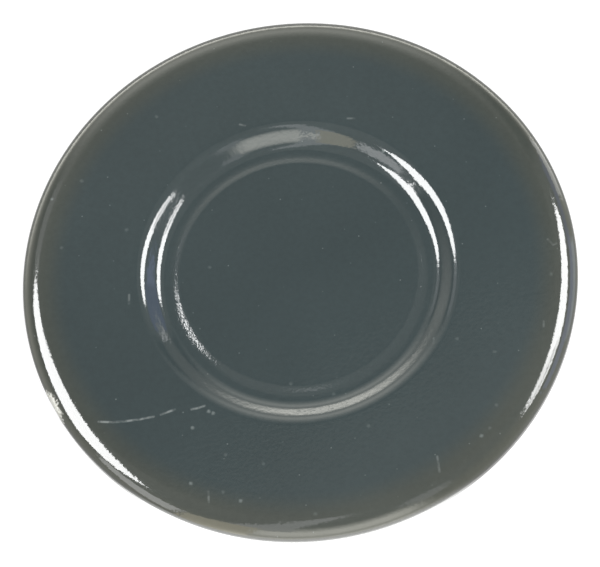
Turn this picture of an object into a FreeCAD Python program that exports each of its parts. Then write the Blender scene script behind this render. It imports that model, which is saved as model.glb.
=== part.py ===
"""Gas burner cap: one steel blank, pressed to a dished disc with a turned-down rim and enamelled.

The section is drawn the way the sheet is bent, as one strip of straight runs and bends that
starts on the axis and ends at the foot of the rim. The strip keeps its thickness all the way,
so every bend has its inside and outside radius on one centre. The pad in the middle of the dish
is coined into the top face only.

Millimetres, +Z up. The origin is on the axis, in the plane of the rim's foot.
"""
import FreeCAD
import Part

import math
import os

# Sheet
sheet_thickness = 1.5           # steel with the enamel on both faces

# Rim, turned down to the foot in an easy bend and then a tight one that is sharp inside
cap_diameter = 100.0            # over the rim
shoulder_inside_radius = 3.8    # easy bend
shoulder_turn = 40.0            # how far the easy bend turns, in degrees
foot_chamfer = 0.3              # broken edges of the cut foot
foot_clearance = 0.2            # the dish stays this far above the plane of the foot

# Dish, pressed down in the middle
dish_diameter = 53.3            # at half the height of its wall
dish_depth = 2.2                # flat top to the floor of the dish
dish_wall_length = 1.4          # straight stretch of the wall, along its slope
dish_lip_inside_radius = 1.8    # upper bend, whose inside is the underside of the sheet
dish_floor_inside_radius = 3.1  # lower bend, whose inside is the top of the sheet

# Pad, the slightly raised middle of the dish's floor
moat_width = 1.4                # flat groove between the pad and the bend of the dish's wall
pad_edge_width = 1.1            # sloping edge of the pad
pad_rise = 0.11                 # floor of the groove to the top of the pad

# Heights
cap_height = foot_clearance + sheet_thickness + dish_depth
floor_height = cap_height - dish_depth
pad_height = floor_height + pad_rise

# Rim bends and the upright skirt that is left below them
shoulder_radius = shoulder_inside_radius + sheet_thickness
shoulder_angle = math.radians(shoulder_turn)
skirt_angle = math.pi / 2 - shoulder_angle
skirt_radius = sheet_thickness
shoulder_drop = shoulder_radius * (1 - math.cos(shoulder_angle))
skirt_drop = skirt_radius * math.cos(shoulder_angle)
skirt_length = cap_height - foot_chamfer - shoulder_drop - skirt_drop
rim_width = shoulder_radius * math.sin(shoulder_angle) + skirt_radius * (1 - math.sin(shoulder_angle))

# Dish wall, as steep as its depth asks for between the two bends
dish_lip_radius = dish_lip_inside_radius + sheet_thickness
dish_bends = dish_lip_radius + dish_floor_inside_radius
dish_reach = math.hypot(dish_bends, dish_wall_length)
dish_angle = math.acos((dish_bends - dish_depth) / dish_reach) - math.atan2(dish_wall_length, dish_bends)

# Radii where the dish's bends start and end, from the point at half its depth on the straight wall
lip_drop = dish_lip_radius * (1 - math.cos(dish_angle))
wall_top_radius = dish_diameter / 2 + (dish_depth / 2 - lip_drop) / math.tan(dish_angle)
wall_foot_radius = wall_top_radius - dish_wall_length * math.cos(dish_angle)
lip_outer_radius = wall_top_radius + dish_lip_radius * math.sin(dish_angle)
floor_radius = wall_foot_radius - dish_floor_inside_radius * math.sin(dish_angle)

# Flat ring between the dish and the rim, which lies on the burner's crown
seat_width = cap_diameter / 2 - rim_width - lip_outer_radius

# Pad, inside the groove that follows the dish's floor
pad_foot_radius = floor_radius - moat_width
pad_top_radius = pad_foot_radius - pad_edge_width


def run(length):
    """A straight stretch of the strip."""
    return (length, 0.0, 0.0)


def bend_down(angle, outside_radius):
    """A bend towards the underside. Its outside is the top face."""
    return (0.0, angle, outside_radius)


def bend_up(angle, inside_radius):
    """A bend towards the top. Its inside is the top face."""
    return (0.0, -angle, inside_radius)


strip = [
    run(floor_radius),
    bend_up(dish_angle, dish_floor_inside_radius),
    run(dish_wall_length),
    bend_down(dish_angle, dish_lip_radius),
    run(seat_width),
    bend_down(shoulder_angle, shoulder_radius),
    bend_down(skirt_angle, skirt_radius),
    run(skirt_length),
]


def section_point(radius, height):
    return FreeCAD.Vector(radius, 0, height)


def along(heading):
    """Direction of travel, for a heading in radians below the horizontal."""
    return section_point(math.cos(heading), -math.sin(heading))


def square_to(heading):
    """Direction out of the top face."""
    return section_point(math.sin(heading), math.cos(heading))


def lines_through(points):
    """Straight edges from each point to the next."""
    return [Part.LineSegment(start, end).toShape() for start, end in zip(points, points[1:])]


def strip_line(depth):
    """Edges of the strip's line at a depth under its top face, and the point where it ends."""
    point = section_point(0, floor_height - depth)
    heading = 0.0
    edges = []
    for length, turn, top_radius in strip:
        side = math.copysign(1, turn)
        radius = top_radius - side * depth
        end = point
        if turn == 0:
            end = point + along(heading) * length
            edges += lines_through([point, end])
        elif radius > 0:
            centre = point - square_to(heading) * (side * radius)
            middle = centre + square_to(heading + turn / 2) * (side * radius)
            end = centre + square_to(heading + turn) * (side * radius)
            edges.append(Part.Arc(point, middle, end).toShape())
        heading += turn
        point = end
    return edges, point


def pad_edges():
    """Top of the dish's floor from the axis: the pad, its sloping edge and the groove round it."""
    return lines_through([
        section_point(0, pad_height),
        section_point(pad_top_radius, pad_height),
        section_point(pad_foot_radius, floor_height),
        section_point(floor_radius, floor_height),
    ])


def foot_edges(outer, inner):
    """Cut edge of the sheet, flat with broken corners, between the skirt's two upright faces."""
    return lines_through([
        outer,
        section_point(outer.x - foot_chamfer, 0),
        section_point(inner.x + foot_chamfer, 0),
        inner,
    ])


def burner_cap():
    """The whole cap, its section turned about the axis."""
    top, outer_end = strip_line(0.0)
    underside, inner_end = strip_line(sheet_thickness)
    axis_edge = lines_through([
        section_point(0, floor_height - sheet_thickness),
        section_point(0, pad_height),
    ])
    outline = Part.Wire(
        pad_edges() + top[1:] + foot_edges(outer_end, inner_end) + underside[::-1] + axis_edge
    )
    return Part.Face(outline).revolve(FreeCAD.Vector(0, 0, 0), FreeCAD.Vector(0, 0, 1), 360)


os.makedirs("parts", exist_ok=True)
burner_cap().exportStep("parts/burner_cap.step")
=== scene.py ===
"""Gas burner cap in slate grey enamel, laid out as an add-on.

The cap's section is drawn as one bent strip, lathed by a Geometry Nodes tree and enamelled by a
procedural material. Lengths are metres in the frame of the CAD part: +Z up, origin on the axis in
the plane of the rim's foot.
"""

import math
from typing import NamedTuple

import bpy
import numpy as np
from bpy.props import FloatProperty, FloatVectorProperty, IntProperty, PointerProperty
from mathutils import Matrix, Vector


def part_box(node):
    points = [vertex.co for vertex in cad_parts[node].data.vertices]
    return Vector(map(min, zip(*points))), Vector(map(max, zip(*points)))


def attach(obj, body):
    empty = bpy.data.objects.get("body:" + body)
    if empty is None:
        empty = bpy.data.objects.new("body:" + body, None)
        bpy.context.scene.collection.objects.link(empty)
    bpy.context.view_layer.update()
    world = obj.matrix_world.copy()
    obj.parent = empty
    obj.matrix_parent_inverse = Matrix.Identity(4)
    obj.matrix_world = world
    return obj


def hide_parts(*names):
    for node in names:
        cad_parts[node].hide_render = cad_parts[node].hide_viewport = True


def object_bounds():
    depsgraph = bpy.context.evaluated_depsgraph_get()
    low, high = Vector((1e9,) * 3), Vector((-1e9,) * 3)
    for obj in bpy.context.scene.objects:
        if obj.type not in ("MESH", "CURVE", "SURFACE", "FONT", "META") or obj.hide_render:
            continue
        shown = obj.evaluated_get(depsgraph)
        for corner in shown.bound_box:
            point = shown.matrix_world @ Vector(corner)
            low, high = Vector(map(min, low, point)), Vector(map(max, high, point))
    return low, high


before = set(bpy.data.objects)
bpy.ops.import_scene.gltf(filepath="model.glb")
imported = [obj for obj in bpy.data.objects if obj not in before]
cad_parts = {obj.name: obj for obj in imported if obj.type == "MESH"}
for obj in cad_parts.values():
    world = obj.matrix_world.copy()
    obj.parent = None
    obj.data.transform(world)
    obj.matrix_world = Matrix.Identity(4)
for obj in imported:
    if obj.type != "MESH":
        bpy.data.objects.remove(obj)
CAD_LOW, CAD_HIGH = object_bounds()

bl_info = {
    "name": "Gas burner cap",
    "version": (1, 0, 0),
    "blender": (4, 5, 0),
    "location": "3D View > Sidebar > Burner cap",
    "description": "Presses an enamelled gas burner cap and sets a plain studio round it",
    "category": "Add Mesh",
}

MM = 0.001
NODE = "burner_cap"

# Tints of the cards that show in the gloss
WHITE = (1.0, 1.0, 1.0)
BLUE = (0.55, 0.62, 1.0)
DEEP_BLUE = (0.55, 0.60, 1.0)
PALE_BLUE = (0.80, 0.88, 1.0)
TAN = (1.0, 0.91, 0.70)


class GlossCard(NamedTuple):
    """Flat card that shows in the gloss. Corners are degrees round from +X and above the horizon."""

    share: float            # of the soft boxes' level
    corners: tuple
    tint: tuple = WHITE


class SoftWall(NamedTuple):
    """Soft-edged wall that shows in the gloss, in degrees. A level under zero takes light away."""

    azimuth: float
    full_width: float       # half width of the part at its full level
    gone_width: float       # half width where it has faded out
    full_height: float      # elevation up to which it has its full level
    gone_height: float      # elevation where it has faded out
    level: float


class GlossStrip(NamedTuple):
    """Low strip that stands round the cap and shows in the gloss. Azimuth and widths are degrees."""

    azimuth: int
    full_width: int         # half width of the part at its full level
    gone_width: int         # half width where it has faded out
    level: float
    radius: float           # distance from the axis
    height: float           # in the middle
    growth: float           # share by which the height grows to the ends of the full part


# Marks on the top face, in millimetres from the axis
LONG_SCRATCH = (
    ((-39.7, -20.9), (-37.4, -21.5), (-35.2, -21.8), (-32.5, -22.0), (-30.0, -22.0)),
    ((-28.7, -21.9), (-27.4, -21.7), (-26.1, -21.5)),
    ((-23.2, -22.1), (-22.0, -22.1), (-20.8, -21.9)),
)
TICKS = (
    ((17.3, -39.6), (17.1, -42.4)),
    ((-22.9, -37.6), (-23.2, -39.5)),
    ((-30.5, 1.6), (-30.8, -0.1)),
    ((40.7, -19.1), (40.5, -20.0)),
    ((21.1, -17.9), (20.9, -18.9)),
    ((44.8, -4.0), (45.5, -5.2), (46.2, -5.0)),
    ((-5.1, 30.2), (-4.2, 29.8)),
    ((14.4, 27.1), (15.6, 26.8)),
)
CLEAR_SPECKS = (
    (-23.4, -25.3), (-17.5, -40.2), (-20.1, -22.9), (-19.4, -23.4), (-25.5, -35.3), (-41.1, 23.3),
    (19.7, 19.7), (25.8, -37.3),
)
FAINT_SPECKS = (
    (-35.2, 25.6), (-19.6, 35.3), (-28.7, 14.3), (-40.8, 13.4), (-15.3, 4.7), (-20.2, -38.0),
    (-18.6, -31.4), (-12.4, -34.4), (6.9, -31.4), (31.3, -22.6), (27.5, -36.2), (29.5, -32.3),
    (25.3, -18.8), (-5.0, -20.2), (2.1, -23.6), (-5.2, -45.2), (44.1, -10.4),
)

# Radii over which the slate turns lighter and more olive towards the rim, and then lighter again at its
# edge as painted sheen
RIM_FADE = (CAD_HIGH.x - 8.5 * MM, CAD_HIGH.x - 3.5 * MM)
EDGE_SHEEN_FADE = (CAD_HIGH.x - 2.4 * MM, CAD_HIGH.x - 0.6 * MM)

# Refraction of the glass that enamel is
ENAMEL_IOR = 1.52

# Range in which most of a noise pattern lies
NOISE_RANGE = (0.3, 0.7)

# Points of the lathed sheet that are closer than this are one, along its seam and at its poles
SEAM_GAP = 0.0005 * MM

GLOSS_CARDS = {
    "right_soft_box": GlossCard(1.0, (
        (-2, 38), (26, 37), (32, 42), (36, 50), (34, 57), (26, 60), (-2, 58),
    )),
    "right_upper_streak": GlossCard(0.8, ((-2, 58), (-2, 47), (-24, 44), (-18, 53))),
    "right_lower_streak": GlossCard(0.8, ((-2, 45), (-2, 38), (-13, 39), (-26, 41), (-25, 43))),
    "left_soft_box": GlossCard(1.0, (
        (135, 53), (140, 44), (149, 37), (-177, 34), (-166, 41), (-161, 54), (-178, 62), (165, 65),
        (140, 66), (132, 65), (138, 60),
    )),
    "left_tail": GlossCard(0.06, ((116, 54), (126, 36), (140, 38), (134, 54))),
    "right_card": GlossCard(0.15, ((27, 20), (40, 18), (38, 1), (25, 1))),
    "blue_card": GlossCard(0.10, ((-20, 32), (18, 28), (18, 17), (-8, 17), (-22, 17)), BLUE),
    "deep_blue_card": GlossCard(0.06, ((18, 32), (36, 34), (37, 20), (18, 19)), DEEP_BLUE),
    "low_card": GlossCard(0.13, ((-8, 17), (16, 17), (16, 1), (-8, 1)), PALE_BLUE),
    "front_left_card": GlossCard(0.20, (
        (-168, 37), (-150, 42), (-141, 43), (-141, 22), (-150, 20), (-166, 25),
    )),
    "tan_card": GlossCard(0.145, ((-140, 43), (-126, 55), (-119, 55), (-119, 0), (-139, 0)), TAN),
    "front_streak": GlossCard(0.11, (
        (-131, 46), (-127, 64), (-128, 78), (-150, 84), (95, 87), (-92, 84), (-104, 76), (-108, 64),
        (-108, 46),
    )),
    "front_bar": GlossCard(0.07, ((-68, 47), (-56, 47), (-50, 64), (-58, 72), (-70, 66))),
}

# Walls of the room. The back wall and the front wall each have a shade that dims its foot
ROOM_WALLS = (
    SoftWall(azimuth=90, full_width=0, gone_width=39, full_height=26, gone_height=68, level=3.3),
    SoftWall(azimuth=90, full_width=0, gone_width=39, full_height=14, gone_height=34, level=-2.5),
    SoftWall(azimuth=-95, full_width=18, gone_width=34, full_height=45, gone_height=62, level=4.7),
    SoftWall(azimuth=-95, full_width=18, gone_width=34, full_height=22, gone_height=36, level=-4.3),
    SoftWall(azimuth=152, full_width=16, gone_width=34, full_height=8, gone_height=30, level=0.9),
)

# Brighter stretch of the floor, as a wall without height
FRONT_SHEEN = SoftWall(azimuth=-101, full_width=20, gone_width=42, full_height=0, gone_height=1, level=3.9)

GLOSS_STRIPS = {
    "back_strip": GlossStrip(
        azimuth=86, full_width=40, gone_width=72, level=5.0, radius=150 * MM, height=27 * MM, growth=0.3,
    ),
    "front_strip": GlossStrip(
        azimuth=-96, full_width=18, gone_width=34, level=3.8, radius=64 * MM, height=14 * MM, growth=0.0,
    ),
}

# Rows of a strip, from its foot: share of the height, and the glow there
STRIP_ROWS = ((0.14, 1.0), (0.39, 1.0), (0.67, 0.35), (1.0, 0.0))

# Where the fill lamp hangs, in degrees round from +X and above the horizon
FILL_DIRECTION = (-50, 72)


def length_setting(name, size_mm, description):
    """A length that the user can change, given in millimetres."""
    return FloatProperty(
        name=name, description=description, default=size_mm * MM, min=0.0,
        subtype="DISTANCE", unit="LENGTH", precision=5,
    )


def angle_setting(name, degrees, description):
    """An angle that the user can change, given in degrees."""
    return FloatProperty(
        name=name, description=description, default=math.radians(degrees),
        subtype="ANGLE", unit="ROTATION",
    )


def colour_setting(name, colour, description):
    """A linear colour that the user can change."""
    return FloatVectorProperty(
        name=name, description=description, default=colour, min=0.0, max=1.0, size=3, subtype="COLOR",
    )


def share_setting(name, share, description):
    """A value from 0 to 1 that the user can change."""
    return FloatProperty(
        name=name, description=description, default=share, min=0.0, max=1.0, subtype="FACTOR",
    )


def level_setting(name, level, description):
    """A brightness that the user can change."""
    return FloatProperty(name=name, description=description, default=level, min=0.0)


class CapSizes(bpy.types.PropertyGroup):
    """Sizes of the pressed sheet."""

    sheet_thickness: length_setting("Sheet", 1.5, "Steel with the enamel on both faces")
    shoulder_radius: length_setting("Shoulder radius", 5.3, "Outside of the rim's easy bend")
    shoulder_turn: angle_setting("Shoulder turn", 40.0, "How far the rim's easy bend turns")
    skirt_radius: length_setting("Skirt radius", 1.5, "Outside of the rim's tight bend")
    foot_radius: length_setting("Foot radius", 0.3, "Rounding of the cut edge at the foot")
    dish_diameter: length_setting("Dish diameter", 53.3, "Across the dish at half the height of its wall")
    dish_depth: length_setting("Dish depth", 2.2, "Flat top to the floor of the dish")
    wall_slope: angle_setting("Wall slope", 33.5, "Slope of the dish's wall where its bends end")
    wall_crown: angle_setting("Wall crown", 1.8, "How much steeper the wall is half-way up")
    lip_radius: length_setting("Lip radius", 3.3, "Outside of the dish's upper bend")
    floor_radius: length_setting("Floor bend radius", 3.1, "Inside of the dish's lower bend")
    pad_diameter: length_setting("Pad diameter", 44.4, "Across the pad, at the middle of its edge")
    pad_slope: angle_setting("Pad slope", 10.0, "Slope of the pad's edge")
    pad_bend_radius: length_setting("Pad bend radius", 1.0, "Bends at the top and foot of the pad's edge")
    pad_rise: length_setting("Pad rise", 0.19, "Floor of the dish to the top of the pad")
    enamel_softness: length_setting("Enamel softness", 0.16, "How far the enamel rounds off a bend's start")
    waviness: length_setting("Waviness", 0.008, "Height of the slow waves in the pressed sheet")
    wave_length: length_setting("Wave length", 11.0, "Distance between the slow waves")
    chip_length: length_setting("Chip length", 7.6, "Chipped stretch of the rim")
    chip_width: length_setting("Chip width", 3.6, "Chipped stretch across the rim")
    chip_depth: length_setting("Chip depth", 0.09, "Enamel lost in the chip")
    chip_inset: length_setting("Chip inset", 0.1, "Middle of the chip, in from the rim's edge")
    chip_drop: length_setting("Chip drop", 2.1, "Middle of the chip, below the flat top")
    chip_angle: angle_setting("Chip angle", 198.5, "Where the chip is, round the axis from +X")
    segments: IntProperty(name="Segments", description="Faces round the axis", default=360, min=24)
    seed: IntProperty(name="Seed", description="Picks the waves and the chip's outline", default=7)


class EnamelLook(bpy.types.PropertyGroup):
    """Colours and finish of the enamel."""

    slate: colour_setting("Slate", (0.048, 0.066, 0.069), "Enamel on the flat faces")
    # Over the rim the slate turns lighter and more olive. At the rim's edge the lighter slate is painted
    # sheen, standing in for the room that the steep bend reflects
    rim_slate: colour_setting("Rim slate", (0.066, 0.075, 0.066), "Thinner enamel over the rim")
    edge_sheen_slate: colour_setting("Edge slate", (0.092, 0.098, 0.082), "Thinnest enamel, at the rim's edge")
    # Pale coat bared by the chip, painted lighter than it is to stand in for light that the floor bounces
    # onto the rim's steep side
    ground_coat_and_bounce: colour_setting("Ground coat", (0.95, 0.95, 0.88), "Pale coat bared by the chip")
    pit_colour: colour_setting("Pits", (0.60, 0.59, 0.52), "Dirt in the pits of the chip")
    scratch_colour: colour_setting("Scratch", (0.42, 0.46, 0.45), "Powdered enamel in scratches")
    dust_colour: colour_setting("Dust", (0.36, 0.41, 0.40), "Specks of dust")
    roughness: share_setting("Roughness", 0.075, "Gloss of the clean enamel")
    worn_roughness: share_setting("Worn roughness", 0.55, "Gloss of chips, scratches and dust")
    peel_depth: length_setting("Peel depth", 0.012, "Height of the fine waves in the fired enamel")
    peel_size: length_setting("Peel size", 0.65, "Distance between the fine waves")
    grain_depth: length_setting("Grain depth", 0.024, "Height of the grain worn into the pad's edge")
    grain_size: length_setting("Grain size", 0.40, "Distance between the grains")
    worn_grain_depth: length_setting("Worn grain depth", 0.045, "Grain added where the edge is worn most")
    worn_angle: angle_setting("Worn angle", 197.0, "Where the edge is worn most, round the axis from +X")
    scratch_width: length_setting("Scratch width", 0.40, "Width of the long scratch")
    speck_size: length_setting("Speck size", 0.62, "Width of the larger specks")
    dust_spacing: length_setting("Dust spacing", 6.0, "Distance between the fine specks")


class StageLook(bpy.types.PropertyGroup):
    """Camera and studio."""

    camera_distance: length_setting("Camera distance", 492.0, "Lens to the middle of the top face")
    camera_tilt: angle_setting("Camera tilt", 21.94, "Line of sight from the vertical")
    camera_roll: angle_setting("Camera roll", 11.48, "Turn of the picture about the line of sight")
    lens: FloatProperty(name="Lens", description="Focal length in millimetres", default=164.95, min=1.0)
    aim_right: length_setting("Aim right", 0.43, "Middle of the picture, right of the cap's middle")
    aim_down: length_setting("Aim down", 2.60, "Middle of the picture, below the cap's middle")
    lamp_distance: length_setting("Lamp distance", 1200.0, "Lamps to the cap")
    soft_box_level: level_setting("Soft box level", 21.0, "Brightness of the soft boxes in the gloss")
    fill_level: level_setting("Fill level", 0.60, "Light on the matt part of every surface")
    room_level: level_setting("Room level", 0.45, "Light of the room on matt surfaces")
    cove_level: level_setting("Cove level", 0.5, "White wall round the horizon, in the gloss")
    ceiling_level: level_setting("Ceiling level", 0.36, "Light half of the ceiling, in the gloss")
    gloss_tint: colour_setting("Gloss tint", (1.0, 0.985, 0.905), "Colour of the room, in the gloss")
    floor_glow: level_setting("Floor glow", 0.84, "White of the floor that takes no shadow")
    floor_colour: colour_setting("Floor", (0.28, 0.28, 0.275), "White that takes the shadow")


# Nodes and objects

def set_input(tree, socket, value):
    """Joins a node's input to a socket or sets it to a value."""
    if isinstance(value, bpy.types.NodeSocket):
        tree.links.new(value, socket)
    else:
        socket.default_value = value


def add_node(tree, kind, inputs=None, **settings):
    """A new node with its settings and inputs."""
    node = tree.nodes.new(kind)
    for name, value in settings.items():
        setattr(node, name, value)
    for key, value in (inputs or {}).items():
        set_input(tree, node.inputs[key], value)
    return node


def calculate(tree, operation, *values):
    """Result of a Math node. More than two values are taken in turn."""
    node = add_node(tree, "ShaderNodeMath", dict(enumerate(values[:2])), operation=operation)
    for value in values[2:]:
        node = add_node(tree, "ShaderNodeMath", {0: node.outputs[0], 1: value}, operation=operation)
    return node.outputs[0]


def vector_result(tree, operation, *values):
    """Vector result of a Vector Math node."""
    node = add_node(tree, "ShaderNodeVectorMath", dict(enumerate(values)), operation=operation)
    return node.outputs["Vector"]


def vector_number(tree, operation, *values):
    """Number result of a Vector Math node."""
    node = add_node(tree, "ShaderNodeVectorMath", dict(enumerate(values)), operation=operation)
    return node.outputs["Value"]


def scaled(tree, vector, amount):
    """Vector or colour times a number."""
    inputs = {0: vector, "Scale": amount}
    return add_node(tree, "ShaderNodeVectorMath", inputs, operation="SCALE").outputs["Vector"]


def flattened(tree, place):
    """Place without its height."""
    return vector_result(tree, "MULTIPLY", place, (1, 1, 0))


def parts_of(tree, vector):
    """X, Y and Z of a vector."""
    return add_node(tree, "ShaderNodeSeparateXYZ", {0: vector}).outputs


def ramp(tree, value, start, end, low=0.0, high=1.0, soft=True):
    """Value carried from the range start to end over to the range low to high, and held outside it."""
    inputs = {"Value": value, "From Min": start, "From Max": end, "To Min": low, "To Max": high}
    kind = "SMOOTHSTEP" if soft else "LINEAR"
    return add_node(tree, "ShaderNodeMapRange", inputs, interpolation_type=kind).outputs[0]


def noise(tree, place, size, detail=2.0, seed=None):
    """Cloudy pattern of 0 to 1 whose patches are about that far apart."""
    is_socket = isinstance(size, bpy.types.NodeSocket)
    scale = calculate(tree, "DIVIDE", 1.0, size) if is_socket else 1.0 / size
    inputs = {"Vector": place, "Scale": scale, "Detail": detail}
    if seed is None:
        return add_node(tree, "ShaderNodeTexNoise", inputs, noise_dimensions="3D").outputs[0]
    inputs["W"] = seed
    return add_node(tree, "ShaderNodeTexNoise", inputs, noise_dimensions="4D").outputs[0]


def mixed(tree, node, kind, share, first, second):
    """Result of a Mix node whose kind is Float or Color."""
    sockets = {socket.identifier: socket for socket in node.inputs}
    set_input(tree, sockets["Factor_Float"], share)
    set_input(tree, sockets[f"A_{kind}"], first)
    set_input(tree, sockets[f"B_{kind}"], second)
    return next(socket for socket in node.outputs if socket.identifier == f"Result_{kind}")


def mix_colour(tree, share, first, second):
    """Two colours mixed by a share."""
    node = add_node(tree, "ShaderNodeMix", data_type="RGBA")
    return mixed(tree, node, "Color", share, first, second)


def mix_number(tree, share, first, second):
    """Two numbers mixed by a share."""
    node = add_node(tree, "ShaderNodeMix", data_type="FLOAT")
    return mixed(tree, node, "Float", share, first, second)


def opaque(colour):
    """Colour with its alpha."""
    return (*colour, 1.0)


def declare_sockets(tree, inputs, output, output_kind):
    """Gives a node group its named inputs and its one output, and returns the inputs inside it."""
    for name, kind in inputs.items():
        tree.interface.new_socket(name=name, in_out="INPUT", socket_type=f"NodeSocket{kind}")
    tree.interface.new_socket(name=output, in_out="OUTPUT", socket_type=f"NodeSocket{output_kind}")
    return add_node(tree, "NodeGroupInput").outputs


def emptied_tree(owner):
    """Node tree of a new material or world, without its first nodes."""
    owner.use_nodes = True
    owner.node_tree.nodes.clear()
    return owner.node_tree


def put_in_scene(name, data):
    """New object in the scene."""
    thing = bpy.data.objects.new(name, data)
    bpy.context.scene.collection.objects.link(thing)
    return thing


# Section of the cap

def bend(turn, radius):
    """A bend of the strip. A positive turn goes down, and the radius is that of the top face."""
    return (abs(turn) * radius, turn)


def offset_strip(strip, depth):
    """The strip's line at a depth under its top face. Runs keep their length, and bends change it."""
    line = []
    for length, turn in strip:
        line.append((max(length - turn * depth, 0.0), turn))
    return line


def section_strip(sizes, cap_radius, cap_height):
    """Runs and bends of the section: its top from the pad's middle, then the foot and the underside."""
    right_angle = math.pi / 2
    steepest = sizes.wall_slope + sizes.wall_crown
    bend_drop = 1 - math.cos(sizes.wall_slope)
    wall_drop = sizes.dish_depth - (sizes.lip_radius + sizes.floor_radius) * bend_drop
    wall_radius = wall_drop / 2 / (math.cos(sizes.wall_slope) - math.cos(steepest))
    wall_reach = wall_radius * (math.sin(steepest) - math.sin(sizes.wall_slope))
    low_middle = (sizes.lip_radius - sizes.floor_radius) * bend_drop / 2
    wall_middle = sizes.dish_diameter / 2 - low_middle / math.tan(steepest)
    lip_outer = wall_middle + wall_reach + sizes.lip_radius * math.sin(sizes.wall_slope)
    floor_end = wall_middle - wall_reach - sizes.floor_radius * math.sin(sizes.wall_slope)

    skirt_turn = right_angle - sizes.shoulder_turn
    shoulder_drop = sizes.shoulder_radius * (1 - math.cos(sizes.shoulder_turn))
    skirt_drop = sizes.skirt_radius * math.cos(sizes.shoulder_turn)
    skirt_length = cap_height - shoulder_drop - skirt_drop - sizes.foot_radius
    shoulder_reach = sizes.shoulder_radius * math.sin(sizes.shoulder_turn)
    skirt_reach = sizes.skirt_radius * (1 - math.sin(sizes.shoulder_turn))
    seat_width = cap_radius - shoulder_reach - skirt_reach - lip_outer

    pad_radius = sizes.pad_diameter / 2
    pad_bend_drop = sizes.pad_bend_radius * (1 - math.cos(sizes.pad_slope))
    pad_bend_reach = sizes.pad_bend_radius * math.sin(sizes.pad_slope)
    pad_run = (sizes.pad_rise - 2 * pad_bend_drop) / math.sin(sizes.pad_slope)
    pad_reach = pad_bend_reach + pad_run / 2 * math.cos(sizes.pad_slope)
    pad_edge = [
        (pad_radius - pad_reach, 0.0),
        bend(sizes.pad_slope, sizes.pad_bend_radius),
        (pad_run, 0.0),
        bend(-sizes.pad_slope, sizes.pad_bend_radius),
        (floor_end - pad_radius - pad_reach, 0.0),
    ]
    pressing = [
        bend(-sizes.wall_slope, sizes.floor_radius),
        bend(-sizes.wall_crown, wall_radius),
        bend(sizes.wall_crown, wall_radius),
        bend(sizes.wall_slope, sizes.lip_radius),
        (seat_width, 0.0),
        bend(sizes.shoulder_turn, sizes.shoulder_radius),
        bend(skirt_turn, sizes.skirt_radius),
        (skirt_length, 0.0),
    ]
    foot = [
        bend(right_angle, sizes.foot_radius),
        (sizes.sheet_thickness - 2 * sizes.foot_radius, 0.0),
        bend(right_angle, sizes.foot_radius),
    ]
    underside = offset_strip([(floor_end, 0.0)] + pressing, sizes.sheet_thickness)
    return pad_edge + pressing, foot + [(length, -turn) for length, turn in reversed(underside)]


def blurred(values, width):
    """Row of values blurred over a width in steps."""
    reach = math.ceil(3 * width)
    kernel = np.exp(-0.5 * (np.arange(-reach, reach + 1) / width) ** 2)
    return np.convolve(np.pad(values, reach, mode="edge"), kernel / kernel.sum(), mode="valid")


def section_points(sizes, cap_radius, cap_height):
    """Points of the section, close together in its bends, which the enamel eases in and out."""
    step = 0.02 * MM
    longest_face = 2.2 * MM
    top_fold = math.radians(1.7)
    lower_fold = math.radians(7.0)
    shortest_bend = 0.001 * MM
    grading = 0.35 * MM

    top, rest = section_strip(sizes, cap_radius, cap_height)
    strip = top + rest
    lengths = [max(length, shortest_bend) for length, turn in strip]
    stations = np.concatenate([[0.0], np.cumsum(lengths)])
    headings = np.concatenate([[0.0], np.cumsum([turn for length, turn in strip])])
    way = np.arange(0.0, stations[-1] + step, step)
    heading = blurred(np.interp(way, stations, headings), sizes.enamel_softness / step)

    radius = np.concatenate([[0.0], np.cumsum(np.cos(heading[:-1]) * step)])
    height = np.concatenate([[0.0], np.cumsum(-np.sin(heading[:-1]) * step)])
    radius *= cap_radius / radius.max()
    height = (height - height.min()) * cap_height / (height.max() - height.min())

    folding = blurred(np.abs(np.gradient(heading)), grading / step)
    fold = np.where(way < stations[len(top)], top_fold, lower_fold)
    effort = np.cumsum(step / longest_face + folding / fold)
    effort -= effort[0]
    chosen = np.interp(np.linspace(0.0, effort[-1], math.ceil(effort[-1])), effort, way)
    points = [
        (r, 0.0, z)
        for r, z in zip(np.interp(chosen, way, radius), np.interp(chosen, way, height))
    ]
    points[0] = (0.0, 0.0, points[0][2])
    points[-1] = (0.0, 0.0, points[-1][2])
    return points


def section_mesh(points):
    """The section as one line of edges."""
    mesh = bpy.data.meshes.new("cap_section")
    mesh.from_pydata(points, [(i, i + 1) for i in range(len(points) - 1)], [])
    return mesh


# Lathe

LATHE_INPUTS = {
    "Section": "Geometry",
    "Segments": "Int",
    "Waviness": "Float",
    "Wave Length": "Float",
    "Chip Centre": "Vector",
    "Chip Length": "Float",
    "Chip Width": "Float",
    "Chip Depth": "Float",
    "Seed": "Float",
    "Enamel": "Material",
}


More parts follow.
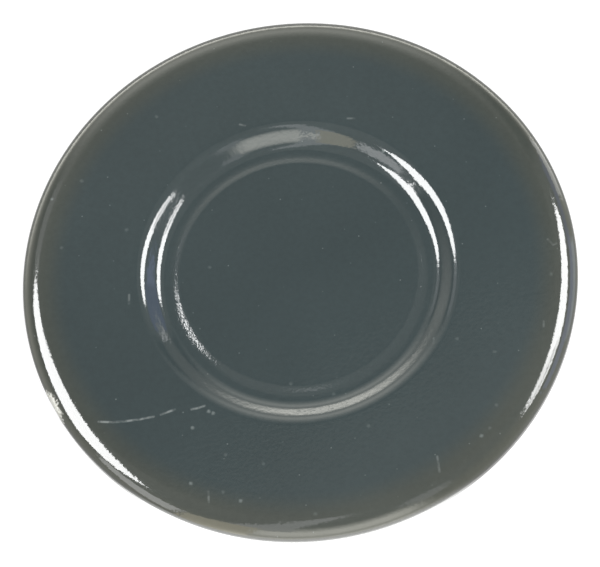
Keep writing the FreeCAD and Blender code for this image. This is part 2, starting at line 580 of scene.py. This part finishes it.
def lathed_section(tree, given):
    """Grid with a row for each section point and a column for each segment, wound round the axis."""
    section = given["Section"]
    size = add_node(tree, "GeometryNodeAttributeDomainSize", {"Geometry": section})
    rows = size.outputs["Point Count"]
    columns = calculate(tree, "ADD", given["Segments"], 1.0)
    sheet = {"Size X": 1.0, "Size Y": 1.0, "Vertices X": columns, "Vertices Y": rows}
    grid = add_node(tree, "GeometryNodeMeshGrid", sheet).outputs["Mesh"]

    position = add_node(tree, "GeometryNodeInputPosition").outputs[0]
    on_sheet = parts_of(tree, position)
    share_round = calculate(tree, "ADD", on_sheet["X"], 0.5)
    share_along = calculate(tree, "ADD", on_sheet["Y"], 0.5)
    angle = calculate(tree, "MULTIPLY", share_round, -2 * math.pi)
    last_row = calculate(tree, "SUBTRACT", rows, 1.0)
    row = calculate(tree, "ROUND", calculate(tree, "MULTIPLY", share_along, last_row))

    sampled = add_node(
        tree, "GeometryNodeSampleIndex", {"Geometry": section, "Value": position, "Index": row},
        data_type="FLOAT_VECTOR", domain="POINT",
    )
    point = parts_of(tree, sampled.outputs[0])
    wound = add_node(tree, "ShaderNodeCombineXYZ", {
        "X": calculate(tree, "MULTIPLY", point["X"], calculate(tree, "COSINE", angle)),
        "Y": calculate(tree, "MULTIPLY", point["X"], calculate(tree, "SINE", angle)),
        "Z": point["Z"],
    }).outputs[0]
    turned = add_node(tree, "GeometryNodeSetPosition", {"Geometry": grid, "Position": wound}).outputs[0]
    seam = {"Geometry": turned, "Distance": SEAM_GAP}
    return add_node(tree, "GeometryNodeMergeByDistance", seam).outputs[0]


def push_out(tree, geometry, distance):
    """The surface moved along its normals."""
    shift = scaled(tree, add_node(tree, "GeometryNodeInputNormal").outputs[0], distance)
    return add_node(tree, "GeometryNodeSetPosition", {"Geometry": geometry, "Offset": shift}).outputs[0]


def chip_reach(tree, given, place):
    """Distance from the chip's middle, which is 1 at half its length and half its width."""
    centre = given["Chip Centre"]
    away = vector_result(tree, "SUBTRACT", place, centre)
    along_rim = vector_result(tree, "NORMALIZE", vector_result(tree, "CROSS_PRODUCT", (0, 0, 1), centre))
    along = vector_number(tree, "DOT_PRODUCT", away, along_rim)
    distance_square = vector_number(tree, "DOT_PRODUCT", away, away)
    across_square = calculate(tree, "SUBTRACT", distance_square, calculate(tree, "POWER", along, 2.0))
    across = calculate(tree, "SQRT", calculate(tree, "MAXIMUM", 0.0, across_square))
    squares = []
    for distance, size in ((along, given["Chip Length"]), (across, given["Chip Width"])):
        share = calculate(tree, "DIVIDE", calculate(tree, "MULTIPLY", distance, 2.0), size)
        squares.append(calculate(tree, "POWER", share, 2.0))
    return calculate(tree, "SQRT", calculate(tree, "ADD", *squares))


def lathe_tree():
    """Winds the section round the axis, with slow waves in the sheet and a chip out of the rim."""
    notch_size = 1.1 * MM
    notch_depth = 0.9
    chip_floor, chip_edge = 0.7, 1.1

    tree = bpy.data.node_groups.new("cap_lathe", "GeometryNodeTree")
    given = declare_sockets(tree, LATHE_INPUTS, "Cap", "Geometry")
    geometry = lathed_section(tree, given)
    place = add_node(tree, "GeometryNodeInputPosition").outputs[0]

    waves = noise(tree, place, given["Wave Length"], seed=given["Seed"])
    lift = calculate(tree, "MULTIPLY", calculate(tree, "SUBTRACT", waves, 0.5), given["Waviness"])

    notches = calculate(tree, "SUBTRACT", noise(tree, place, notch_size, seed=given["Seed"]), 0.5)
    ragged = calculate(tree, "MULTIPLY", notches, notch_depth)
    reach = calculate(tree, "ADD", chip_reach(tree, given, place), ragged)
    bared = ramp(tree, reach, chip_floor, chip_edge, 1.0, 0.0)
    loss = calculate(tree, "MULTIPLY", bared, given["Chip Depth"])
    kept_reach = {"Geometry": geometry, "Name": "chip_reach", "Value": reach}
    geometry = add_node(
        tree, "GeometryNodeStoreNamedAttribute", kept_reach, data_type="FLOAT", domain="POINT",
    ).outputs[0]
    geometry = push_out(tree, geometry, calculate(tree, "SUBTRACT", lift, loss))

    smooth = add_node(tree, "GeometryNodeSetShadeSmooth", {"Geometry": geometry}).outputs[0]
    real = add_node(tree, "GeometryNodeRealizeInstances", {"Geometry": smooth}).outputs[0]
    coat = {"Geometry": real, "Material": given["Enamel"]}
    coated = add_node(tree, "GeometryNodeSetMaterial", coat).outputs[0]
    add_node(tree, "NodeGroupOutput", {"Cap": coated})
    return tree


def run_tree(section, tree, values):
    """The section lathed by the tree, as a plain mesh."""
    shape = put_in_scene("cap_section", section)
    modifier = shape.modifiers.new("Lathe", "NODES")
    modifier.node_group = tree
    for item in tree.interface.items_tree:
        if item.in_out == "INPUT" and item.name in values:
            modifier[item.identifier] = values[item.name]
    depsgraph = bpy.context.evaluated_depsgraph_get()
    mesh = bpy.data.meshes.new_from_object(shape.evaluated_get(depsgraph), depsgraph=depsgraph)
    bpy.data.objects.remove(shape)
    return mesh


# Enamel

def stroke_group():
    """Mask of one straight stroke on the XY plane, or of a spot where its two ends are one point."""
    core, edge = 0.1, 0.8
    shortest_line = 0.03 * MM

    group = bpy.data.node_groups.new("enamel_stroke", "ShaderNodeTree")
    inputs = {"Place": "Vector", "Start": "Vector", "End": "Vector", "Width": "Float"}
    given = declare_sockets(group, inputs, "Mask", "Float")
    away = vector_result(group, "SUBTRACT", flattened(group, given["Place"]), given["Start"])
    line = vector_result(group, "SUBTRACT", given["End"], given["Start"])
    run_up = vector_number(group, "DOT_PRODUCT", away, line)
    square = vector_number(group, "DOT_PRODUCT", line, line)
    square = calculate(group, "MAXIMUM", square, shortest_line**2)
    share = ramp(group, calculate(group, "DIVIDE", run_up, square), 0.0, 1.0, soft=False)
    off_line = vector_result(group, "SUBTRACT", away, scaled(group, line, share))
    distance = calculate(group, "DIVIDE", vector_number(group, "LENGTH", off_line), given["Width"])
    add_node(group, "NodeGroupOutput", {"Mask": ramp(group, distance, core, edge, 1.0, 0.0)})
    return group


def strokes(tree, group, place, lines, width):
    """Mask of several lines together, each a row of points in millimetres."""
    masks = []
    for line in lines:
        for start, end in zip(line, line[1:]):
            start, end = ((x * MM, y * MM, 0.0) for x, y in (start, end))
            inputs = {"Place": place, "Start": start, "End": end, "Width": width}
            node = add_node(tree, "ShaderNodeGroup", inputs, node_tree=group)
            masks.append(node.outputs["Mask"])
    return calculate(tree, "MAXIMUM", 0.0, *masks)


def spots(tree, group, place, points, width):
    """Mask of several spots together."""
    return strokes(tree, group, place, [(point, point) for point in points], width)


def fine_dust(tree, place, spacing):
    """Mask of fine specks scattered over the top face. Their sizes are shares of the spacing."""
    core, edge = 0.012, 0.028
    faintest_pick = 0.4
    strongest = 0.3

    cells = add_node(
        tree, "ShaderNodeTexVoronoi", {"Vector": place, "Scale": 1.0 / spacing}, voronoi_dimensions="2D",
    ).outputs
    speck = ramp(tree, cells["Distance"], core, edge, 1.0, 0.0)
    pick = add_node(tree, "ShaderNodeSeparateColor", {0: cells["Color"]}).outputs[0]
    strength = ramp(tree, pick, faintest_pick, 1.0, 0.0, strongest, soft=False)
    return calculate(tree, "MULTIPLY", speck, strength)


def dust_mask(tree, group, look, place):
    """Clear and faint specks with ragged outlines, and the fine dust between them."""
    rag_size = 0.6 * MM
    rag_reach = 0.4 * MM
    clear_share = 0.30
    faint_share = 0.12

    rags = noise(tree, place, rag_size).node.outputs["Color"]
    shift = vector_result(tree, "MULTIPLY", rags, (rag_reach, rag_reach, 0.0))
    ragged_place = vector_result(tree, "ADD", place, shift)
    specks = []
    for points, share in ((CLEAR_SPECKS, clear_share), (FAINT_SPECKS, faint_share)):
        mask = spots(tree, group, ragged_place, points, look.speck_size)
        specks.append(calculate(tree, "MULTIPLY", mask, share))
    both = calculate(tree, "ADD", *specks)
    return calculate(tree, "MAXIMUM", both, fine_dust(tree, place, look.dust_spacing))


def scratch_mask(tree, group, look, place):
    """The long scratch and the fainter ticks, broken where the enamel held."""
    break_size = 1.3 * MM
    held, broken = 0.36, 0.60
    held_share = 0.25
    tick_share = 0.5
    scratch_share = 0.42

    breaks = ramp(tree, noise(tree, place, break_size, detail=3.0), held, broken, held_share, 1.0)
    long_scratch = strokes(tree, group, place, LONG_SCRATCH, look.scratch_width)
    ticks = strokes(tree, group, place, TICKS, look.scratch_width)
    lines = calculate(tree, "ADD", long_scratch, calculate(tree, "MULTIPLY", ticks, tick_share))
    return calculate(tree, "MULTIPLY", lines, breaks, scratch_share)


def pad_edge_masks(tree, look, place, pad_radius):
    """The pad's edge all round, and the stretch of it that is worn most."""
    edge_core, edge_reach = 0.5 * MM, 1.2 * MM
    worn_core, worn_reach = 0.6 * MM, 1.5 * MM
    worn_half, fading_half = math.radians(5), math.radians(15)

    flat_place = flattened(tree, place)
    from_axis = vector_number(tree, "LENGTH", flat_place)
    from_edge = calculate(tree, "ABSOLUTE", calculate(tree, "SUBTRACT", from_axis, pad_radius))
    worn_way = (math.cos(look.worn_angle), math.sin(look.worn_angle), 0.0)
    heading = vector_result(tree, "NORMALIZE", flat_place)
    off_worn = vector_number(tree, "DOT_PRODUCT", heading, worn_way)
    worn_stretch = ramp(tree, off_worn, math.cos(fading_half), math.cos(worn_half))
    worn_band = ramp(tree, from_edge, worn_core, worn_reach, 1.0, 0.0)
    return {
        "pad_edge": ramp(tree, from_edge, edge_core, edge_reach, 1.0, 0.0),
        "worn_edge": calculate(tree, "MULTIPLY", worn_band, worn_stretch),
    }


def chip_masks(tree, place):
    """The chip with its crumbled outline, and the dirty pits in it."""
    crumb_size = 0.5 * MM
    crumb_low, crumb_high = 0.2, 0.8
    crumb_reach = 0.2
    bared, coated = 0.70, 1.05
    pit_start, pit_full = 0.45, 0.65
    clean_middle, dirty_edge = 0.2, 0.8

    reach = add_node(tree, "ShaderNodeAttribute", attribute_name="chip_reach").outputs["Fac"]
    crumbs = noise(tree, place, crumb_size, detail=3.0)
    crumbled = ramp(tree, crumbs, crumb_low, crumb_high, -crumb_reach, crumb_reach, soft=False)
    ragged = calculate(tree, "ADD", reach, crumbled)
    pits = ramp(tree, crumbs, pit_start, pit_full)
    return {
        "chip": ramp(tree, ragged, bared, coated, 1.0, 0.0),
        "pits": calculate(tree, "MULTIPLY", pits, ramp(tree, reach, clean_middle, dirty_edge)),
    }


def enamel_masks(tree, look, place, pad_radius):
    """Where the enamel is dusty, scratched, chipped and worn. Dust and scratches are on top only."""
    steep, level = 0.3, 0.6

    group = stroke_group()
    normal = add_node(tree, "ShaderNodeNewGeometry").outputs["Normal"]
    upward = ramp(tree, parts_of(tree, normal)["Z"], steep, level)
    return {
        "dust": calculate(tree, "MULTIPLY", dust_mask(tree, group, look, place), upward),
        "scratch": calculate(tree, "MULTIPLY", scratch_mask(tree, group, look, place), upward),
        **chip_masks(tree, place),
        **pad_edge_masks(tree, look, place, pad_radius),
    }


def tone(tree, place, size, change):
    """Factor about 1 that changes from patch to patch."""
    patches = noise(tree, place, size, detail=3.0)
    return ramp(tree, patches, *NOISE_RANGE, 1 - change, 1 + change, soft=False)


def enamel_colour(tree, look, place, masks):
    """Slate with slow and fine changes of tone, lighter towards the rim with painted sheen at its edge, and
    the marks on it.
    """
    slow_size, slow_change = 26 * MM, 0.05
    fine_size, fine_change = 0.9 * MM, 0.04

    from_axis = vector_number(tree, "LENGTH", flattened(tree, place))
    rim_share = ramp(tree, from_axis, *RIM_FADE)
    # Painted sheen: the slate lightens again at the rim's edge, standing in for the room that the bend
    # reflects
    edge_sheen_share = ramp(tree, from_axis, *EDGE_SHEEN_FADE)
    slate = mix_colour(tree, rim_share, opaque(look.slate), opaque(look.rim_slate))
    slate = mix_colour(tree, edge_sheen_share, slate, opaque(look.edge_sheen_slate))
    slow = tone(tree, place, slow_size, slow_change)
    fine = tone(tree, place, fine_size, fine_change)
    toned = scaled(tree, slate, calculate(tree, "MULTIPLY", slow, fine))
    dusty = mix_colour(tree, masks["dust"], toned, opaque(look.dust_colour))
    scratched = mix_colour(tree, masks["scratch"], dusty, opaque(look.scratch_colour))
    # The bared coat is pale, and is also painted lighter to stand in for light bounced up from the floor
    bared = mix_colour(tree, masks["pits"], opaque(look.ground_coat_and_bounce), opaque(look.pit_colour))
    return mix_colour(tree, masks["chip"], scratched, bared)


def enamel_roughness(tree, look, place, masks):
    """Gloss that changes slowly over the clean enamel, and is lost where it is worn or dusty."""
    patch_size = 9 * MM
    glossiest, dullest = 0.85, 1.2

    patches = noise(tree, place, patch_size, detail=3.0)
    clean = ramp(tree, patches, *NOISE_RANGE, look.roughness * glossiest, look.roughness * dullest)
    worn = calculate(tree, "MAXIMUM", masks["dust"], masks["scratch"], masks["chip"])
    return mix_number(tree, worn, clean, look.worn_roughness)


def enamel_relief(tree, look, place, masks):
    """Normals of the peel in the fired enamel, the crumbled chip and the grain on the pad's edge."""
    crumble_size = 0.35 * MM
    crumble_depth = 0.05 * MM

    waves = noise(tree, place, look.peel_size, detail=1.0)
    peel = calculate(tree, "MULTIPLY", waves, look.peel_depth)
    crumbled = calculate(tree, "MULTIPLY", noise(tree, place, crumble_size), crumble_depth, masks["chip"])
    edge_grain = calculate(tree, "MULTIPLY", masks["pad_edge"], look.grain_depth)
    worn_grain = calculate(tree, "MULTIPLY", masks["worn_edge"], look.worn_grain_depth)
    grain_height = calculate(tree, "ADD", edge_grain, worn_grain)
    grain = calculate(tree, "MULTIPLY", noise(tree, place, look.grain_size), grain_height)
    height = calculate(tree, "ADD", peel, crumbled, grain)
    relief = {"Strength": 1.0, "Distance": 1.0, "Height": height}
    return add_node(tree, "ShaderNodeBump", relief).outputs[0]


def enamel_material(look, pad_radius):
    """Glossy fired enamel with a fine peel, dust, scratches and a chip on the rim."""
    material = bpy.data.materials.new("slate_enamel")
    tree = emptied_tree(material)
    place = add_node(tree, "ShaderNodeTexCoord").outputs["Object"]
    masks = enamel_masks(tree, look, place, pad_radius)
    shader = add_node(tree, "ShaderNodeBsdfPrincipled", {
        "Base Color": enamel_colour(tree, look, place, masks),
        "Roughness": enamel_roughness(tree, look, place, masks),
        "IOR": ENAMEL_IOR,
        "Normal": enamel_relief(tree, look, place, masks),
    })
    add_node(tree, "ShaderNodeOutputMaterial", {"Surface": shader.outputs[0]})
    return material


class BURNERCAP_OT_press_cap(bpy.types.Operator):
    """Press the cap from its sheet and enamel it"""

    bl_idname = "burner_cap.press_cap"
    bl_label = "Press the cap"

    def execute(self, context):
        sizes = context.scene.cap_sizes
        low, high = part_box(NODE)
        points = section_points(sizes, high.x, high.z - low.z)
        chip_radius = high.x - sizes.chip_inset
        values = {
            "Segments": sizes.segments,
            "Waviness": sizes.waviness,
            "Wave Length": sizes.wave_length,
            "Chip Centre": (
                chip_radius * math.cos(sizes.chip_angle),
                chip_radius * math.sin(sizes.chip_angle),
                high.z - sizes.chip_drop,
            ),
            "Chip Length": sizes.chip_length,
            "Chip Width": sizes.chip_width,
            "Chip Depth": sizes.chip_depth,
            "Seed": float(sizes.seed),
            "Enamel": enamel_material(context.scene.enamel_look, sizes.pad_diameter / 2),
        }
        mesh = run_tree(section_mesh(points), lathe_tree(), values)
        mesh.name = "cap_shell"
        cap = put_in_scene("cap_shell", mesh)
        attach(cap, "root")
        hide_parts(NODE)
        return {"FINISHED"}


# Stage

def direction(azimuth, elevation):
    """Unit vector from the cap, by degrees round from +X and above the horizon."""
    around, above = math.radians(azimuth), math.radians(elevation)
    level = math.cos(above)
    return Vector((level * math.cos(around), level * math.sin(around), math.sin(above)))


def plain_mesh(name, points, faces, material):
    """Mesh in one material."""
    mesh = bpy.data.meshes.new(name)
    mesh.from_pydata(points, [], faces)
    mesh.materials.append(material)
    return mesh


def add_fill(look):
    """Square lamp for the matt light on every surface, which the gloss doesn't show."""
    where = direction(*FILL_DIRECTION)
    light = bpy.data.lights.new("fill", "AREA")
    light.size = look.lamp_distance / 2
    light.energy = look.fill_level * math.pi * 4 * look.lamp_distance**2
    lamp = put_in_scene("fill", light)
    lamp.location = where * look.lamp_distance
    lamp.rotation_mode = "QUATERNION"
    lamp.rotation_quaternion = where.to_track_quat("Z", "Y")
    lamp.visible_camera = False
    lamp.visible_glossy = False


def add_reflected(name, mesh):
    """Puts a glowing mesh on the stage that only shows as a reflection."""
    card = put_in_scene(name, mesh)
    card.visible_camera = False
    card.visible_diffuse = False
    card.visible_shadow = False


def add_gloss_card(name, card, look):
    """Flat glowing card that only shows as a reflection."""
    material = bpy.data.materials.new(name)
    tree = emptied_tree(material)
    level = look.soft_box_level * card.share
    glow = add_node(tree, "ShaderNodeEmission", {"Color": opaque(card.tint), "Strength": level})
    add_node(tree, "ShaderNodeOutputMaterial", {"Surface": glow.outputs[0]})
    points = [direction(*corner) * look.lamp_distance for corner in card.corners]
    add_reflected(name, plain_mesh(name, points, [range(len(points))], material))


def strip_material(name, tint):
    """Glow by the mesh's own attribute, which adds to what is behind it."""
    material = bpy.data.materials.new(name)
    tree = emptied_tree(material)
    strength = add_node(tree, "ShaderNodeAttribute", attribute_name="glow").outputs["Fac"]
    glow = add_node(tree, "ShaderNodeEmission", {"Color": opaque(tint), "Strength": strength})
    clear = add_node(tree, "ShaderNodeBsdfTransparent")
    both = add_node(tree, "ShaderNodeAddShader", {0: glow.outputs[0], 1: clear.outputs[0]})
    add_node(tree, "ShaderNodeOutputMaterial", {"Surface": both.outputs[0]})
    return material


def add_gloss_strip(name, strip, tint):
    """Low bent strip round the cap. It glows along its foot, fades out and only shows as a reflection."""
    column_step = 2
    columns = range(-strip.gone_width, strip.gone_width + 1, column_step)
    points = []
    glows = []
    for turn in columns:
        share = min(1.0, (strip.gone_width - abs(turn)) / (strip.gone_width - strip.full_width))
        height = strip.height * (1 + strip.growth * min(1.0, abs(turn) / strip.full_width) ** 2)
        foot = strip.radius * direction(strip.azimuth + turn, 0)
        for row, glow in STRIP_ROWS:
            points.append(foot + Vector((0, 0, row * height)))
            glows.append(strip.level * glow * share)
    rows = len(STRIP_ROWS)
    starts = [column * rows + row for column in range(len(columns) - 1) for row in range(rows - 1)]
    faces = [(start, start + rows, start + rows + 1, start + 1) for start in starts]
    mesh = plain_mesh(name, points, faces, strip_material(name, tint))
    mesh.attributes.new("glow", "FLOAT", "POINT").data.foreach_set("value", glows)
    add_reflected(name, mesh)


def add_lights(look):
    """Two soft boxes overhead, dimmer cards and low strips for the gloss, and a lamp for the matt light."""
    for name, card in GLOSS_CARDS.items():
        add_gloss_card(name, card, look)
    for name, strip in GLOSS_STRIPS.items():
        add_gloss_strip(name, strip, look.gloss_tint)
    add_fill(look)


def soft_wall(tree, heading, height, wall):
    """Brightness of one soft-edged wall, by the level heading and the height of the line of sight."""
    off_middle = vector_number(tree, "DOT_PRODUCT", heading, direction(wall.azimuth, 0))
    gone, full = (math.cos(math.radians(width)) for width in (wall.gone_width, wall.full_width))
    across = ramp(tree, off_middle, gone, full)
    top, foot = (math.sin(math.radians(angle)) for angle in (wall.gone_height, wall.full_height))
    upward = ramp(tree, height, top, foot, 0.0, wall.level, soft=False)
    return calculate(tree, "MULTIPLY", across, upward)


def ray_kinds(tree):
    """Whether a ray comes from the camera, and whether it comes off a shiny or clear surface."""
    rays = add_node(tree, "ShaderNodeLightPath").outputs
    shiny = calculate(tree, "MAXIMUM", rays["Is Glossy Ray"], rays["Is Transmission Ray"])
    return rays["Is Camera Ray"], shiny


def set_world(look):
    """White behind everything for the camera, and in the gloss a dim room inside a white cove."""
    light_half = (0.35, -0.94, 0.0)
    light_start, light_full = -0.322, -0.285
    west = (-1, 0, 0)
    west_start, west_full = -0.1, 0.1
    east_level, west_level = 0.13, 0.24
    cove_top, cove_foot = 0.5, 0.2

    world = bpy.data.worlds.new("studio")
    bpy.context.scene.world = world
    tree = emptied_tree(world)
    toward = add_node(tree, "ShaderNodeTexCoord").outputs["Generated"]
    height = parts_of(tree, toward)["Z"]
    heading = vector_result(tree, "NORMALIZE", flattened(tree, toward))

    to_light_half = vector_number(tree, "DOT_PRODUCT", toward, light_half)
    westward = vector_number(tree, "DOT_PRODUCT", toward, west)
    gloss_level = calculate(
        tree, "ADD",
        ramp(tree, to_light_half, light_start, light_full, 0.0, look.ceiling_level),
        ramp(tree, westward, west_start, west_full, east_level, west_level),
        ramp(tree, height, cove_top, cove_foot, 0.0, look.cove_level),
        *(soft_wall(tree, heading, height, wall) for wall in ROOM_WALLS),
    )

    camera, shiny = ray_kinds(tree)
    level = calculate(tree, "MAXIMUM", mix_number(tree, shiny, look.room_level, gloss_level), camera)
    colour = mix_colour(tree, shiny, opaque(WHITE), opaque(look.gloss_tint))
    background = add_node(tree, "ShaderNodeBackground", {"Color": colour, "Strength": level})
    add_node(tree, "ShaderNodeOutputWorld", {"Surface": background.outputs[0]})


def floor_material(look):
    """White for the eye and in the gloss, with a matt share that takes the cap's shadow."""
    material = bpy.data.materials.new("studio_floor")
    tree = emptied_tree(material)
    camera, shiny = ray_kinds(tree)
    white = calculate(tree, "MULTIPLY", calculate(tree, "MAXIMUM", camera, shiny), look.floor_glow)
    place = add_node(tree, "ShaderNodeTexCoord").outputs["Object"]
    heading = vector_result(tree, "NORMALIZE", place)
    sheen = calculate(tree, "MULTIPLY", shiny, soft_wall(tree, heading, 0.0, FRONT_SHEEN))
    glow = add_node(tree, "ShaderNodeEmission", {"Strength": calculate(tree, "ADD", white, sheen)})
    matt = add_node(tree, "ShaderNodeBsdfDiffuse", {"Color": opaque(look.floor_colour)})
    both = add_node(tree, "ShaderNodeAddShader", {0: glow.outputs[0], 1: matt.outputs[0]})
    add_node(tree, "ShaderNodeOutputMaterial", {"Surface": both.outputs[0]})
    return material


def add_floor(look):
    """Plain pale floor just under the cap's foot."""
    half_side = 6.0
    below = -0.02 * MM
    corners = [(x * half_side, y * half_side, below) for x, y in ((-1, -1), (1, -1), (1, 1), (-1, 1))]
    floor = put_in_scene("floor", plain_mesh("floor", corners, [(0, 1, 2, 3)], floor_material(look)))


def add_camera(look):
    """Camera above and in front of the cap, rolled a little."""
    top = Vector((0, 0, CAD_HIGH.z))
    back = Vector((0, -math.sin(look.camera_tilt), math.cos(look.camera_tilt)))
    level_up = back.cross(Vector((1, 0, 0)))
    right = math.cos(look.camera_roll) * Vector((1, 0, 0)) - math.sin(look.camera_roll) * level_up
    up = back.cross(right)
    place = top + back * look.camera_distance
    aim = top + right * look.aim_right - up * look.aim_down
    back = (place - aim).normalized()
    right = up.cross(back).normalized()
    up = back.cross(right)
    data = bpy.data.cameras.new("camera")
    data.sensor_width = 36.0
    data.lens = look.lens
    data.clip_start = 0.01
    data.clip_end = 100.0
    camera = put_in_scene("camera", data)
    camera.matrix_world = Matrix.Translation(place) @ Matrix((right, up, back)).transposed().to_4x4()
    bpy.context.scene.camera = camera


class BURNERCAP_OT_set_stage(bpy.types.Operator):
    """Set the floor, the lights and the camera"""

    bl_idname = "burner_cap.set_stage"
    bl_label = "Set the stage"

    def execute(self, context):
        look = context.scene.stage_look
        context.scene.view_settings.view_transform = "Standard"
        add_floor(look)
        add_lights(look)
        set_world(look)
        add_camera(look)
        return {"FINISHED"}


class VIEW3D_PT_burner_cap(bpy.types.Panel):
    """Sizes, finish and stage of the burner cap"""

    bl_idname = "VIEW3D_PT_burner_cap"
    bl_label = "Burner cap"
    bl_space_type = "VIEW_3D"
    bl_region_type = "UI"
    bl_category = "Burner cap"

    def draw(self, context):
        scene = context.scene
        for settings in (scene.cap_sizes, scene.enamel_look):
            self.list_settings(settings)
        self.layout.operator(BURNERCAP_OT_press_cap.bl_idname)
        self.list_settings(scene.stage_look)
        self.layout.operator(BURNERCAP_OT_set_stage.bl_idname)

    def list_settings(self, settings):
        column = self.layout.column(align=True)
        for name in settings.__annotations__:
            column.prop(settings, name)


CLASSES = (
    CapSizes, EnamelLook, StageLook,
    BURNERCAP_OT_press_cap, BURNERCAP_OT_set_stage, VIEW3D_PT_burner_cap,
)


def register():
    for cls in CLASSES:
        bpy.utils.register_class(cls)
    bpy.types.Scene.cap_sizes = PointerProperty(type=CapSizes)
    bpy.types.Scene.enamel_look = PointerProperty(type=EnamelLook)
    bpy.types.Scene.stage_look = PointerProperty(type=StageLook)


def unregister():
    del bpy.types.Scene.stage_look
    del bpy.types.Scene.enamel_look
    del bpy.types.Scene.cap_sizes
    for cls in reversed(CLASSES):
        bpy.utils.unregister_class(cls)


def main():
    register()
    bpy.ops.burner_cap.press_cap()
    bpy.ops.burner_cap.set_stage()


if __name__ == "__main__":
    main()
